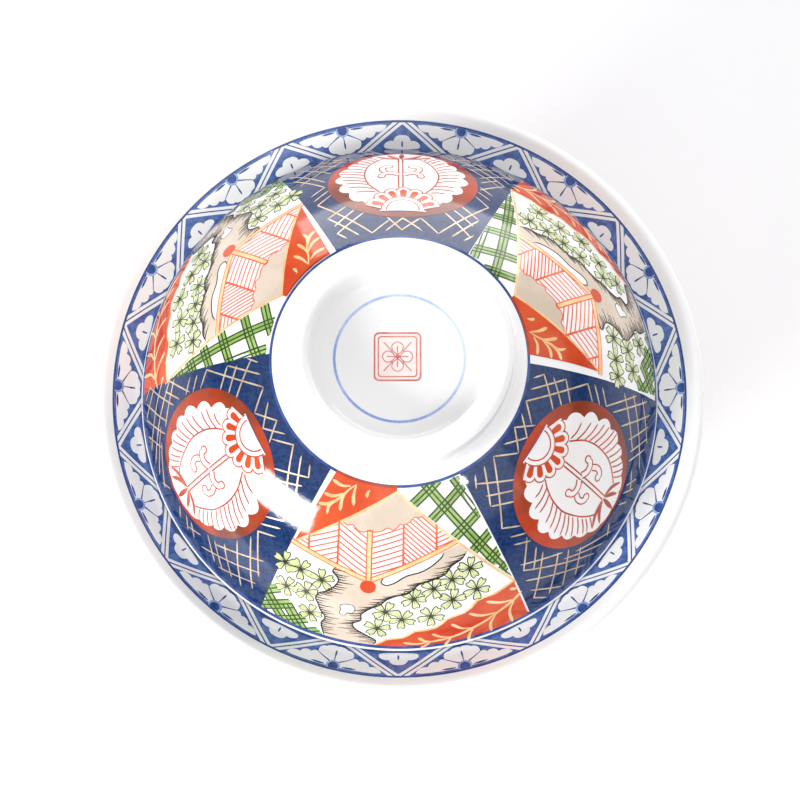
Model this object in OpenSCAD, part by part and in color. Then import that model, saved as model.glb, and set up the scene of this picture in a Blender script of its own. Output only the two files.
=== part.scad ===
// Donburi bowl with its lid. Two pieces of porcelain, each turned about +Z.
// The origin is at the middle of the circle on which the bowl's foot stands.

/* [Bowl] */
// Diameter over the bowl's rim, mm
rim_d = 160; // [130:1:200]
// Height of the bowl from its foot to the top of its lip, mm
bowl_h = 78; // [66:1:100]
// Thickness of the bowl's wall where it flares, and of its rounded lip, mm
bowl_wall = 4; // [3:0.1:6]
// Slope of the flared band inside the rim that the lid rests on, degrees
flare_angle = 31; // [25:1:42]
// Radius of the turn between the bowl's rounded wall and its flared band, mm
throat_round = 18; // [8:0.5:24]
// Thickness of the porcelain in the middle of the bowl, over the foot, mm
floor_t = 4.2; // [3:0.1:7]

/* [Foot of the bowl] */
// Diameter over the foot ring, mm
foot_d = 68; // [54:1:84]
// Height at which the foot ring meets the rounded body outside, mm
foot_h = 11; // [9:0.5:14]
// Width of the foot ring, mm
foot_wall = 5; // [4:0.1:7]
// Depth of the hollow within the foot ring, mm
foot_recess = 5; // [3:0.1:6]
// Radius of the two edges that the foot ring stands between, mm
foot_edge = 1.2; // [0.5:0.1:1.6]
// Radius of the fillets at the top of the foot ring, mm
foot_fillet = 3; // [1:0.1:4]

/* [Lid] */
// How far the lid's edge lies inside the rim's outer edge, mm
lid_inset = 12; // [9:0.5:18]
// How far the bowl's throat lies inside the lid's edge, mm
lid_seat = 6; // [3:0.1:9]
// Thickness of the lid at its rounded edge, mm
lid_wall = 3.6; // [2.6:0.1:5]
// Height of the dome, from the middle of the lid's edge to the crown it would have, mm
dome_h = 43; // [34:0.5:52]
// Thickness of the porcelain in the middle of the lid, under the grip, mm
crown_t = 3.2; // [2.4:0.1:5]
// Clear space between the lid's edge and the bowl, mm
seat_gap = 0.3; // [0.2:0.05:0.6]

/* [Grip ring of the lid] */
// Diameter over the top of the grip ring, mm
grip_d = 56; // [48:1:64]
// Width of the grip ring at its top, mm
grip_wall = 5.2; // [4:0.1:7]
// Height of the grip ring over the dome that it stands on, mm
grip_h = 9.8; // [7:0.1:14]
// Depth of the round hollow within the grip ring, mm
grip_recess = 9.3; // [6:0.1:11]
// How much wider than its top the grip ring is at its root, on each side, mm
grip_spread = 1.6; // [0.5:0.1:2.5]
// Radius of the two edges at the top of the grip ring, mm
grip_edge = 2.2; // [1:0.1:2.4]
// Radius of the fillets at the root of the grip ring, inside and outside, mm
grip_fillet = 3; // [1.5:0.1:4]

/* [Hidden] */
$fn = 180;

// The largest turn and the longest side of the short straight sides that make an arc
facet_turn = 3;
facet_side = 1.2;
// Sides in the shortest arc
least_sides = 6;

right_angle = 90;
half_turn = 180;
full_turn = 360;

function dir(a) = [cos(a), sin(a)];
function angle_of(v) = atan2(v.y, v.x);
function unit(v) = v / norm(v);

// Points along an arc about c, from angle a0 to angle a1
function arc(c, r, a0, a1) =
    let (
        turn = abs(a1 - a0),
        length = r * turn * PI / half_turn,
        sides = max(least_sides, min(ceil(turn / facet_turn), ceil(length / facet_side)))
    )
    [for (i = [0:sides]) c + r * dir(a0 + (a1 - a0) * i / sides)];

// The corner p between the points before and after it, rounded to radius r
function corner(before, p, after, r) =
    let (
        u = unit(before - p),
        v = unit(after - p),
        half = acos(u * v) / 2,
        c = p + unit(u + v) * r / sin(half),
        a0 = angle_of(p + u * r / tan(half) - c),
        a1 = angle_of(p + v * r / tan(half) - c),
        turn = (a1 - a0 + half_turn + full_turn) % full_turn - half_turn
    )
    arc(c, r, a0, a0 + turn);

// An open path of [radius, height, rounding] stations, with its inner corners rounded
function rounded(path) =
    let (last = len(path) - 1, at = [for (p = path) [p.x, p.y]])
    [for (i = [0:last])
        each (i == 0 || i == last || path[i].z == 0)
            ? [at[i]]
            : corner(at[i - 1], at[i], at[i + 1], path[i].z)];

// The inside of the rim. The flared band runs straight down from the lip's round edge.
rim_r = rim_d / 2;
lip_r = bowl_wall / 2;
lip_c = [rim_r - lip_r, bowl_h - lip_r];
band_along = dir(flare_angle);
band_normal = dir(flare_angle + right_angle);
band_top = lip_c + lip_r * band_normal;
function band_z(r) = band_top.y + (r - band_top.x) * tan(flare_angle);

// The bowl's rounded inside is part of a sphere that meets the flared band at the throat
lid_r = rim_r - lid_inset;
throat_r = lid_r - lid_seat;
inner_floor_z = foot_recess + floor_t;
inner_rise = band_z(throat_r) - inner_floor_z;
inner_r = (pow(throat_r, 2) + pow(inner_rise, 2)) / (2 * inner_rise);
inner_c = [0, inner_floor_z + inner_r];

// The throat's round turn touches the sphere and the band
turn_reach = inner_r + throat_round;
turn_start = band_top - throat_round * band_normal - inner_c;
turn_along = turn_start * band_along;
turn_c = inner_c + turn_start
    - (turn_along - sqrt(pow(turn_along, 2) - turn_start * turn_start + pow(turn_reach, 2)))
    * band_along;
wall_angle = angle_of(turn_c - inner_c);

// The outside of the body runs from the throat to the foot, thicker on the way down
foot_r = foot_d / 2;
outer_end = [foot_r + foot_fillet, foot_h];
outer_near = inner_r + bowl_wall;
outer_end_arm = outer_end - inner_c;
outer_shift = (outer_end_arm * outer_end_arm - pow(outer_near, 2))
    / (2 * (outer_near - outer_end_arm * dir(wall_angle)));
outer_r = outer_near + outer_shift;
outer_c = inner_c - outer_shift * dir(wall_angle);
outer_end_angle = angle_of(outer_end - outer_c);
foot_top = outer_end + dir(outer_end_angle - right_angle) * foot_fillet / -sin(outer_end_angle);

// The lid's edge is a bead of this radius, and it rests on the band or on the throat's turn
bead_r = lid_wall / 2;
bead_reach = bead_r + seat_gap;
bead_x = lid_r - bead_r;
bead_z = bead_x >= turn_c.x - (throat_round + bead_reach) * sin(flare_angle)
    ? band_z(bead_x) + bead_reach / cos(flare_angle)
    : turn_c.y + sqrt(pow(throat_round + bead_reach, 2) - pow(turn_c.x - bead_x, 2));
bead_c = [bead_x, bead_z];

// The outside of the dome is part of a sphere that ends square to the bead
mid_rise = dome_h - bead_r;
mid_r = (pow(bead_x, 2) + pow(mid_rise, 2)) / (2 * mid_rise);
dome_r = mid_r + bead_r;
dome_c = [0, bead_z + mid_rise - mid_r];
edge_angle = angle_of(bead_c - dome_c);
function dome_z(r) = dome_c.y + sqrt(pow(dome_r, 2) - pow(r, 2));

// The grip ring stands on the dome
grip_r = grip_d / 2;
root_r = grip_r + grip_spread;
root_z = dome_z(root_r);
grip_top_z = root_z + grip_h;
grip_end_r = root_r + grip_fillet;
recess_z = grip_top_z - grip_recess;
recess_r = grip_r - grip_wall;

// The inside of the dome leaves the bead square to it, and its crown is flat in the middle
inside_start = bead_c - bead_r * dir(edge_angle);
inside_r = min(
    (recess_z - crown_t - inside_start.y) / (1 - sin(edge_angle)),
    inside_start.x / cos(edge_angle)
);
inside_c = inside_start - inside_r * dir(edge_angle);

// The half outline of the bowl: its inside, its lip, its outside and its foot
function bowl_outline() = [
    each arc(inner_c, inner_r, -right_angle, wall_angle),
    each arc(turn_c, throat_round, wall_angle + half_turn, flare_angle + right_angle),
    each arc(lip_c, lip_r, flare_angle + right_angle, flare_angle - right_angle),
    each arc(turn_c, throat_round - bowl_wall, flare_angle + right_angle, wall_angle + half_turn),
    each arc(outer_c, outer_r, wall_angle, outer_end_angle),
    each rounded([
        [outer_end.x, outer_end.y, 0],
        [foot_top.x, foot_top.y, foot_fillet],
        [foot_r, 0, foot_edge],
        [foot_r - foot_wall, 0, foot_edge],
        [foot_r - foot_wall, foot_recess, foot_fillet],
        [0, foot_recess, 0],
    ]),
];

// The half outline of the lid: its grip, its dome, its bead and its inside
function lid_outline() = [
    each rounded([
        [0, recess_z, 0],
        [recess_r - grip_spread, recess_z, grip_fillet],
        [recess_r, grip_top_z, grip_edge],
        [grip_r, grip_top_z, grip_edge],
        [root_r, root_z, grip_fillet],
        [grip_end_r, dome_z(grip_end_r), 0],
    ]),
    each arc(dome_c, dome_r, angle_of([grip_end_r, dome_z(grip_end_r)] - dome_c), edge_angle),
    each arc(bead_c, bead_r, edge_angle, edge_angle - half_turn),
    each arc(inside_c, inside_r, edge_angle, right_angle),
    [0, inside_c.y + inside_r],
];

module bowl() {
    color("ivory")
    rotate_extrude()
    polygon(bowl_outline());
}

module lid() {
    color("whitesmoke")
    rotate_extrude()
    polygon(lid_outline());
}

bowl();
lid();
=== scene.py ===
import math

import bmesh
import bpy
import numpy as np
from mathutils import Matrix, Quaternion, Vector


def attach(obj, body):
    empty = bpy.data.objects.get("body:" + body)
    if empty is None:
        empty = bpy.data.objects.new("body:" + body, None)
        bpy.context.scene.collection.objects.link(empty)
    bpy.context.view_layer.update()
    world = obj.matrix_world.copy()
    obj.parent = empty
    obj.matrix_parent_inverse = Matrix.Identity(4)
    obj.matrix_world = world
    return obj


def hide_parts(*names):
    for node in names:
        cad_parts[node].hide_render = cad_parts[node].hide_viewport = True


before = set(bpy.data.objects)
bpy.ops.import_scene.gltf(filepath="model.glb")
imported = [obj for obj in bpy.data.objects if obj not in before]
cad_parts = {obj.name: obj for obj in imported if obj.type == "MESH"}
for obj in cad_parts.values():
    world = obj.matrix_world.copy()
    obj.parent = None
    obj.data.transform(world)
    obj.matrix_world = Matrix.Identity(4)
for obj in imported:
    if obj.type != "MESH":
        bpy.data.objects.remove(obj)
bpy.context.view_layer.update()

MM = 0.001

# The camera: from the front and high above, as in the photograph
LENS_MM = 112.5
SENSOR_MM = 36.0
VIEW_DISTANCE = 656.0
VIEW_HEIGHT = math.radians(76.05)
VIEW_DROP = math.radians(0.195)
VIEW_SIDE = 0.00016
RIM_LINE_Z = 76.53


def put_camera():
    lens = bpy.data.cameras.new("view")
    lens.lens = LENS_MM
    lens.sensor_width = SENSOR_MM
    lens.clip_start = 0.05
    lens.clip_end = 20
    camera = bpy.data.objects.new("view", lens)
    bpy.context.scene.collection.objects.link(camera)
    back = Vector((0, -math.cos(VIEW_HEIGHT), math.sin(VIEW_HEIGHT)))
    camera.location = (Vector((0, 0, RIM_LINE_Z)) + back * VIEW_DISTANCE) * MM
    tilt = VIEW_HEIGHT + VIEW_DROP
    ahead = Vector((VIEW_SIDE, math.cos(tilt), -math.sin(tilt)))
    camera.rotation_euler = ahead.to_track_quat("-Z", "Y").to_euler()
    bpy.context.scene.camera = camera


put_camera()

# Sizes of the two turned pieces, in mm
RIM_D = 160.0
BOWL_H = 78.0
BOWL_WALL = 4.0
FLARE = 31.0
THROAT_ROUND = 18.0
FLOOR_T = 4.2
FOOT_D = 68.0
FOOT_H = 11.0
FOOT_WALL = 5.0
FOOT_RECESS = 5.0
FOOT_EDGE = 1.2
FOOT_FILLET = 3.0
LID_INSET = 12.0
LID_SEAT = 6.0
LID_WALL = 3.6
DOME_H = 43.0
CROWN_T = 3.2
SEAT_GAP = 0.3
GRIP_D = 56.0
GRIP_WALL = 5.2
GRIP_H = 9.8
GRIP_RECESS = 9.3
GRIP_SPREAD = 1.6
GRIP_EDGE = 2.2
GRIP_FILLET = 3.0

# The painted circles and lines, in mm of radius
RIM_LINE_R = 75.0
BOWL_BASE_R = 39.0
LID_BASE_R = 32.4
GRIP_FOOT_R = 31.2
LIP_END = (78.6, 78.0)

# How finely the outlines are cut, and the sides round a turned piece
BODY_STEP = 1.1
SKIN_STEP = 0.25
LIP_STEP = 0.5
BEAD_STEP = 0.4
SIDES = 360
SECTORS = 20


def heading(a):
    return np.array([math.cos(math.radians(a)), math.sin(math.radians(a))])


def angle_of(v):
    return math.degrees(math.atan2(v[1], v[0]))


def arc(c, r, a0, a1, step):
    sides = max(4, math.ceil(r * math.radians(abs(a1 - a0)) / step))
    return np.array([c + r * heading(a0 + (a1 - a0) * i / sides) for i in range(sides + 1)])


def straight(a, b, step):
    sides = max(1, math.ceil(np.linalg.norm(b - a) / step))
    return np.array([a + (b - a) * i / sides for i in range(sides + 1)])


def corner(before, p, after, r, step):
    u = (before - p) / np.linalg.norm(before - p)
    v = (after - p) / np.linalg.norm(after - p)
    half = math.acos(float(u @ v)) / 2
    c = p + (u + v) / np.linalg.norm(u + v) * r / math.sin(half)
    a0 = angle_of(p + u * r / math.tan(half) - c)
    a1 = angle_of(p + v * r / math.tan(half) - c)
    return arc(c, r, a0, a0 + (a1 - a0 + 540) % 360 - 180, min(step, r / 5))


def rounded(path, step):
    """A path of radius, height and rounding, with its corners rounded and its sides cut up."""
    at = [np.array(p[:2], float) for p in path]
    runs = [at[0][None]]
    for i in range(1, len(path)):
        last = i == len(path) - 1
        turn = at[i][None] if last else corner(at[i - 1], at[i], at[i + 1], path[i][2], step)
        runs.append(straight(runs[-1][-1], turn[0], step)[1:])
        runs.append(turn[1:])
    return np.vstack(runs)


# The inside of the rim, the flared band and the throat
RIM_R = RIM_D / 2
LIP_R = BOWL_WALL / 2
LIP_C = np.array([RIM_R - LIP_R, BOWL_H - LIP_R])
BAND_ALONG = heading(FLARE)
BAND_NORMAL = heading(FLARE + 90)
BAND_TOP = LIP_C + LIP_R * BAND_NORMAL


def band_z(r):
    return BAND_TOP[1] + (r - BAND_TOP[0]) * math.tan(math.radians(FLARE))


LID_R = RIM_R - LID_INSET
THROAT_R = LID_R - LID_SEAT
INNER_FLOOR_Z = FOOT_RECESS + FLOOR_T
INNER_RISE = band_z(THROAT_R) - INNER_FLOOR_Z
INNER_R = (THROAT_R**2 + INNER_RISE**2) / (2 * INNER_RISE)
INNER_C = np.array([0, INNER_FLOOR_Z + INNER_R])
TURN_REACH = INNER_R + THROAT_ROUND
TURN_START = BAND_TOP - THROAT_ROUND * BAND_NORMAL - INNER_C
TURN_ALONG = float(TURN_START @ BAND_ALONG)
TURN_ROOT = math.sqrt(TURN_ALONG**2 - float(TURN_START @ TURN_START) + TURN_REACH**2)
TURN_C = INNER_C + TURN_START - (TURN_ALONG - TURN_ROOT) * BAND_ALONG
WALL_ANGLE = angle_of(TURN_C - INNER_C)
FOOT_R = FOOT_D / 2
OUTER_END = np.array([FOOT_R + FOOT_FILLET, FOOT_H])
OUTER_NEAR = INNER_R + BOWL_WALL
OUTER_ARM = OUTER_END - INNER_C
OUTER_SHIFT = (float(OUTER_ARM @ OUTER_ARM) - OUTER_NEAR**2) / (
    2 * (OUTER_NEAR - float(OUTER_ARM @ heading(WALL_ANGLE)))
)
OUTER_R = OUTER_NEAR + OUTER_SHIFT
OUTER_C = INNER_C - OUTER_SHIFT * heading(WALL_ANGLE)
OUTER_END_ANGLE = angle_of(OUTER_END - OUTER_C)
FOOT_TOP = OUTER_END + heading(OUTER_END_ANGLE - 90) * FOOT_FILLET / -math.sin(math.radians(OUTER_END_ANGLE))

# The lid's edge, dome, grip ring and inside
BEAD_R = LID_WALL / 2
BEAD_REACH = BEAD_R + SEAT_GAP
BEAD_X = LID_R - BEAD_R
ON_BAND = BEAD_X >= TURN_C[0] - (THROAT_ROUND + BEAD_REACH) * math.sin(math.radians(FLARE))
BEAD_Z = (
    band_z(BEAD_X) + BEAD_REACH / math.cos(math.radians(FLARE))
    if ON_BAND
    else TURN_C[1] + math.sqrt((THROAT_ROUND + BEAD_REACH) ** 2 - (TURN_C[0] - BEAD_X) ** 2)
)
BEAD_C = np.array([BEAD_X, BEAD_Z])
MID_RISE = DOME_H - BEAD_R
MID_R = (BEAD_X**2 + MID_RISE**2) / (2 * MID_RISE)
DOME_R = MID_R + BEAD_R
DOME_C = np.array([0, BEAD_Z + MID_RISE - MID_R])
EDGE_ANGLE = angle_of(BEAD_C - DOME_C)


def dome_z(r):
    return DOME_C[1] + math.sqrt(DOME_R**2 - r**2)


GRIP_R = GRIP_D / 2
ROOT_R = GRIP_R + GRIP_SPREAD
ROOT_Z = dome_z(ROOT_R)
GRIP_TOP_Z = ROOT_Z + GRIP_H
GRIP_END_R = ROOT_R + GRIP_FILLET
RECESS_Z = GRIP_TOP_Z - GRIP_RECESS
RECESS_R = GRIP_R - GRIP_WALL
INSIDE_START = BEAD_C - BEAD_R * heading(EDGE_ANGLE)
INSIDE_R = min(
    (RECESS_Z - CROWN_T - INSIDE_START[1]) / (1 - math.sin(math.radians(EDGE_ANGLE))),
    INSIDE_START[0] / math.cos(math.radians(EDGE_ANGLE)),
)
INSIDE_C = INSIDE_START - INSIDE_R * heading(EDGE_ANGLE)


def bowl_runs(step):
    """The bowl's half outline in named runs: inside, throat and band, lip, under, outside, foot."""
    throat = arc(TURN_C, THROAT_ROUND, WALL_ANGLE + 180, FLARE + 90, step)
    lip = arc(LIP_C, LIP_R, FLARE + 90, FLARE - 90, min(step, LIP_STEP))
    return {
        "well": arc(INNER_C, INNER_R, -90, WALL_ANGLE, step),
        "band": np.vstack([throat[1:], straight(throat[-1], BAND_TOP, step)[1:]]),
        "lip": lip[1:],
        "under": np.vstack(
            [
                straight(lip[-1], TURN_C + (THROAT_ROUND - BOWL_WALL) * heading(FLARE + 90), step)[1:],
                arc(TURN_C, THROAT_ROUND - BOWL_WALL, FLARE + 90, WALL_ANGLE + 180, step)[1:],
            ]
        ),
        "outside": arc(OUTER_C, OUTER_R, WALL_ANGLE, OUTER_END_ANGLE, step)[1:],
        "foot": rounded(
            [
                (*OUTER_END, 0),
                (*FOOT_TOP, FOOT_FILLET),
                (FOOT_R, 0, FOOT_EDGE),
                (FOOT_R - FOOT_WALL, 0, FOOT_EDGE),
                (FOOT_R - FOOT_WALL, FOOT_RECESS, FOOT_FILLET),
                (0, FOOT_RECESS, 0),
            ],
            step,
        )[1:],
    }


def lid_runs(step):
    """The lid's half outline in named runs: grip, dome, edge and inside."""
    grip_end = np.array([GRIP_END_R, dome_z(GRIP_END_R)])
    grip = rounded(
        [
            (0, RECESS_Z, 0),
            (RECESS_R - GRIP_SPREAD, RECESS_Z, GRIP_FILLET),
            (RECESS_R, GRIP_TOP_Z, GRIP_EDGE),
            (GRIP_R, GRIP_TOP_Z, GRIP_EDGE),
            (ROOT_R, ROOT_Z, GRIP_FILLET),
            (*grip_end, 0),
        ],
        step,
    )
    crown = (0, INSIDE_C[1] + INSIDE_R)
    return {
        "grip": grip,
        "dome": arc(DOME_C, DOME_R, angle_of(grip_end - DOME_C), EDGE_ANGLE, step)[1:],
        "edge": arc(BEAD_C, BEAD_R, EDGE_ANGLE, EDGE_ANGLE - 180, min(step, BEAD_STEP))[1:],
        "inside": np.vstack([arc(INSIDE_C, INSIDE_R, EDGE_ANGLE, 90, step)[1:], crown]),
    }


def polar(places):
    """The radius of places in mm, and the level way outward at each."""
    r = np.hypot(places[:, 0], places[:, 1])
    return r / MM, places[:, :2] / np.maximum(r, 1e-9)[:, None]


class Skin:
    """Part of a turned piece's outline, unrolled to a flat fan on which its decoration is drawn.

    rows are radius and height, from the fan's narrow end outward. spread is the fan's angle for
    each turn of the piece. pin is a radius of the piece and its distance from the fan's point.
    hand is -1 where the drawing would otherwise come out mirrored. The unrolling keeps every angle."""

    def __init__(self, rows, spread, pin, hand=1, out=1):
        r, z = rows[:, 0], rows[:, 1]
        step = np.hypot(np.diff(r), np.diff(z))
        self.r = r
        self.z = z
        self.along = np.concatenate([[0], np.cumsum(step)])
        rise = np.diff(r)
        flat = np.abs(rise) < 1e-9
        rise = np.where(flat, 1, rise)
        gain = np.where(flat, step / r[:-1], step * np.log(r[1:] / r[:-1]) / rise)
        reach = np.exp(spread * np.concatenate([[0], np.cumsum(gain)]))
        self.reach = reach * (pin[1] / np.interp(pin[0], r, reach))
        dr = np.gradient(r)
        dz = np.gradient(z)
        size = np.hypot(dr, dz)
        self.nr = -out * dz / size
        self.nz = out * dr / size
        self.spread = spread
        self.hand = hand

    def lay(self, flat, turn, stretch=1.0, slide=0.0):
        """Puts flat points (across, outward, lift) in mm on the piece, in metres.

        slide moves the drawing outward, less and less toward the hem."""
        reach = np.hypot(flat[:, 0], flat[:, 1])
        angle = turn + self.hand * stretch * np.arctan2(flat[:, 0], flat[:, 1]) / self.spread
        reach = reach + slide * np.clip((EDGE_LINE - reach) / SLIDE_FADE, 0, 1)
        r = np.interp(reach, self.reach, self.r) + flat[:, 2] * np.interp(reach, self.reach, self.nr)
        z = np.interp(reach, self.reach, self.z) + flat[:, 2] * np.interp(reach, self.reach, self.nz)
        return np.stack([r * np.cos(angle), r * np.sin(angle), z], -1) * MM

    def normals(self, places):
        r, outward = polar(places)
        nr = np.interp(r, self.r, self.nr)
        return np.column_stack([outward * nr[:, None], np.interp(r, self.r, self.nz)])

    def chart(self, places):
        """Where places lie on a round map of the whole skin, from 0 to 1."""
        r, outward = polar(places)
        far = (np.interp(r, self.r, self.along) + self.r[0]) / (self.along[-1] + self.r[0])
        return 0.5 + CHART_REACH * outward * far[:, None]


# Lines and outlines on the flat sheet


def flowing(points, closed=False, step=0.7):
    """A smooth line through the given points."""
    points = np.array(points, float)
    if closed:
        around = np.vstack([points[-1:], points, points[:2]])
    else:
        around = np.vstack([2 * points[0] - points[1], points, 2 * points[-1] - points[-2]])
    line = []
    for a, b, c, d in zip(around, around[1:], around[2:], around[3:]):
        parts = max(1, math.ceil(np.linalg.norm(c - b) / step))
        for k in range(parts):
            t = k / parts
            bend = (2 * a - 5 * b + 4 * c - d) * t**2 + (3 * b - a - 3 * c + d) * t**3
            line.append((2 * b + (c - a) * t + bend) / 2)
    if not closed:
        line.append(points[-1])
    return np.array(line)


def even(points, step=1.0):
    """The same line with its straight stretches cut into short ones."""
    points = np.array(points, float)
    runs = [straight(a, b, step)[:-1] for a, b in zip(points, points[1:]) if np.linalg.norm(b - a) > 1e-6]
    return np.vstack([*runs, points[-1:]])


def swell(share, form):
    """The width of a brush stroke along its length, as a share of its full width."""
    if form == "leaf":
        return (0.22 + 0.78 * share**0.8) * np.sqrt(np.maximum(0, 1 - share**7)) + 0.02
    if form == "flick":
        return np.maximum(0.06, (1 - share) ** 0.7)
    if form == "spindle":
        return np.maximum(0.05, np.sin(np.pi * share) ** 0.6)
    if form == "brush":
        ends = np.minimum(share, 1 - share) * 2
        return np.sqrt(np.clip(1 - (1 - np.clip(ends * 6, 0, 1)) ** 2, 0.04, 1))
    return np.ones_like(share)


def gone_along(line):
    """The distance gone at each point of a line."""
    return np.concatenate([[0], np.cumsum(np.linalg.norm(np.diff(line, axis=0), axis=1))])


def left_of(ahead):
    """The way to the left of one way or of many, of length 1."""
    ahead = ahead / np.maximum(np.linalg.norm(ahead, axis=-1, keepdims=True), 1e-9)
    return np.stack([-ahead[..., 1], ahead[..., 0]], -1)


def stroke(line, width, form="line"):
    """The outline of a brush stroke along a line."""
    line = np.array(line, float)
    gone = gone_along(line)
    half = left_of(np.gradient(line, axis=0)) * (width / 2 * swell(gone / gone[-1], form))[:, None]
    return np.vstack([line + half, (line - half)[::-1]])


def winding(outline):
    """1 where an outline runs to the left round its inside, else -1."""
    x, y = outline[:, 0], outline[:, 1]
    return np.sign(np.sum(x * np.roll(y, -1) - np.roll(x, -1) * y))


def grown(outline, by):
    """A closed outline moved outward by a small distance."""
    return outline - winding(outline) * by * left_of(np.roll(outline, -1, 0) - np.roll(outline, 1, 0))


def trimmed(outline, fence):
    """The part of an outline within a convex fence."""
    fence = np.array(fence, float)
    if winding(fence) < 0:
        fence = fence[::-1]
    kept = [np.array(p, float) for p in outline]
    for a, b in zip(fence, np.roll(fence, -1, 0)):
        inward = np.array([a[1] - b[1], b[0] - a[0]])
        before = kept
        kept = []
        for p, q in zip(before, before[1:] + before[:1]):
            near = float((p - a) @ inward)
            far = float((q - a) @ inward)
            if near >= 0:
                kept.append(p)
            if near * far < 0:
                kept.append(p + (q - p) * near / (near - far))
        if len(kept) < 3:
            return None
    return np.array(kept)


def fan(angle, reach):
    """A point of the fan, by its angle from the middle in degrees and its distance."""
    return np.array([reach * math.sin(math.radians(angle)), reach * math.cos(math.radians(angle))])


def fan_arc(a0, a1, reach, step=1.4):
    parts = max(1, math.ceil(abs(math.radians(a1 - a0)) * reach / step))
    return np.array([fan(a0 + (a1 - a0) * i / parts, reach) for i in range(parts + 1)])


def round_line(c, rx, ry=None, a0=0, a1=360, step=0.7):
    ry = rx if ry is None else ry
    parts = max(8, math.ceil(math.radians(abs(a1 - a0)) * max(rx, ry) / step))
    ring = abs(a1 - a0) == 360
    turns = [math.radians(a0 + (a1 - a0) * i / parts) for i in range(parts if ring else parts + 1)]
    return np.array([[c[0] + rx * math.cos(t), c[1] + ry * math.sin(t)] for t in turns])


def ways(turn):
    """The way that a turn in degrees points to on the sheet, clockwise from outward, and across it."""
    a = math.radians(turn)
    return np.array([math.sin(a), math.cos(a)]), np.array([math.cos(a), -math.sin(a)])


def petal_line(at, turn, shape, size=1.0, step=0.45):
    """A smooth closed outline from points given along and across a way."""
    way, side = ways(turn)
    places = [at + (way * far + side * across) * size for far, across in shape]
    return flowing(places, closed=True, step=step)


def lobe(at, turn, width, start, end):
    """The outline of a petal that widens to a round tip."""
    way, side = ways(turn)
    half = width * 0.5
    shoulder = end - width * 0.62
    places = [(start, -width * 0.36), (shoulder, -half)]
    places += [(end - half * (1 - math.sin(a)), half * math.cos(a)) for a in (2.6, 2.1, 1.57, 1.05, 0.55)]
    places += [(shoulder, half), (start, width * 0.36)]
    return flowing([at + way * far + side * across for far, across in places], step=0.5)


LOBE_CUTS = 6


def scalloped(notches, swells, power=0.7, centre=None):
    """A row of rounded lobes between notches, bulging away from a centre, or else to the left."""
    notches = np.array(notches, float)
    line = []
    for a, b, bulge in zip(notches, notches[1:], swells):
        side = left_of(b - a)
        if centre is not None:
            side = (a + b) / 2 - centre
            side /= np.linalg.norm(side)
        for t in np.arange(LOBE_CUTS) / LOBE_CUTS:
            line.append(a + (b - a) * t + side * bulge * math.sin(math.pi * t) ** power)
    return [*line, notches[-1]]


# Heights of the painted layers over the glaze, in mm
GROUND = 0.03
RING = 0.046
OVER = 0.05
ABOVE = 0.07
LINES = 0.09
TOP = 0.11
ROOT = -0.05

# Shapes of one colour lie a hair apart, in a cycle, so that where they cross no two faces coincide.
# Broad shapes are cut to cells. Corners nearer than the last value are one corner
HAIR = 0.0003
HAIR_CYCLE = 37
CELL = 1.5
CUT_SHIFT = 0.0137
SAME_POINT = 0.004


class Sheet:
    """Shapes of one colour, drawn flat in mm, that become a thin coat of enamel."""

    def __init__(self):
        self.broad = bmesh.new()
        self.fine = bmesh.new()
        self.count = 0

    def area(self, outline, lift, broad=False):
        if outline is None or len(outline) < 3:
            return
        height = lift + HAIR * (self.count % HAIR_CYCLE)
        self.count += 1
        work = self.broad if broad else self.fine
        corners = []
        for x, y in outline:
            if not corners or math.hypot(x - corners[-1].co.x, y - corners[-1].co.y) > SAME_POINT:
                corners.append(work.verts.new((x, y, height)))
        if len(corners) > 3 and (corners[0].co - corners[-1].co).length < SAME_POINT:
            work.verts.remove(corners.pop())
        if len(corners) < 3:
            return
        face = work.faces.new(corners)
        face.normal_update()
        if face.normal.z < 0:
            face.normal_flip()

    def line(self, points, width, lift, form="line", fence=None):
        outline = stroke(even(points), width, form)
        self.area(outline if fence is None else trimmed(outline, fence), lift)

    def curve(self, points, width, lift, form="line"):
        self.area(stroke(flowing(points), width, form), lift)

    def slab(self):
        """The shapes given their thickness, the broad ones cut to small cells first."""
        whole = bmesh.new()
        for work in (self.broad, self.fine):
            bmesh.ops.triangulate(work, faces=work.faces[:])
            if work is self.broad and work.verts:
                cut_to_cells(work)
            add_to(whole, work)
            work.free()
        bmesh.ops.triangulate(whole, faces=whole.faces[:])
        bmesh.ops.solidify(whole, geom=whole.faces[:], thickness=1.0)
        for v in whole.verts:
            if abs(v.co.z) > 0.5:
                v.co.z = ROOT
        return whole


def cut_to_cells(work):
    """Cuts flat shapes along a square grid, so that they can bend with the skin."""
    places = np.array([v.co[:] for v in work.verts]) / CELL
    for axis, facing in enumerate(np.eye(3)[:2]):
        for k in range(math.ceil(places[:, axis].min()), math.floor(places[:, axis].max()) + 1):
            bmesh.ops.bisect_plane(
                work,
                geom=work.verts[:] + work.edges[:] + work.faces[:],
                dist=1e-5,
                plane_co=facing * (k * CELL + CUT_SHIFT),
                plane_no=facing,
            )


def add_to(whole, work):
    """Adds a copy of one bmesh to another."""
    part = bpy.data.meshes.new("part")
    work.to_mesh(part)
    whole.from_mesh(part)
    bpy.data.meshes.remove(part)


def mesh_of(name, work):
    """A mesh with smooth faces from a bmesh, which is then freed."""
    for face in work.faces:
        face.smooth = True
    mesh = bpy.data.meshes.new(name)
    work.to_mesh(mesh)
    work.free()
    return mesh


def places_of(mesh):
    places = np.empty(len(mesh.vertices) * 3)
    mesh.vertices.foreach_get("co", places)
    return places.reshape(-1, 3)


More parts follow.
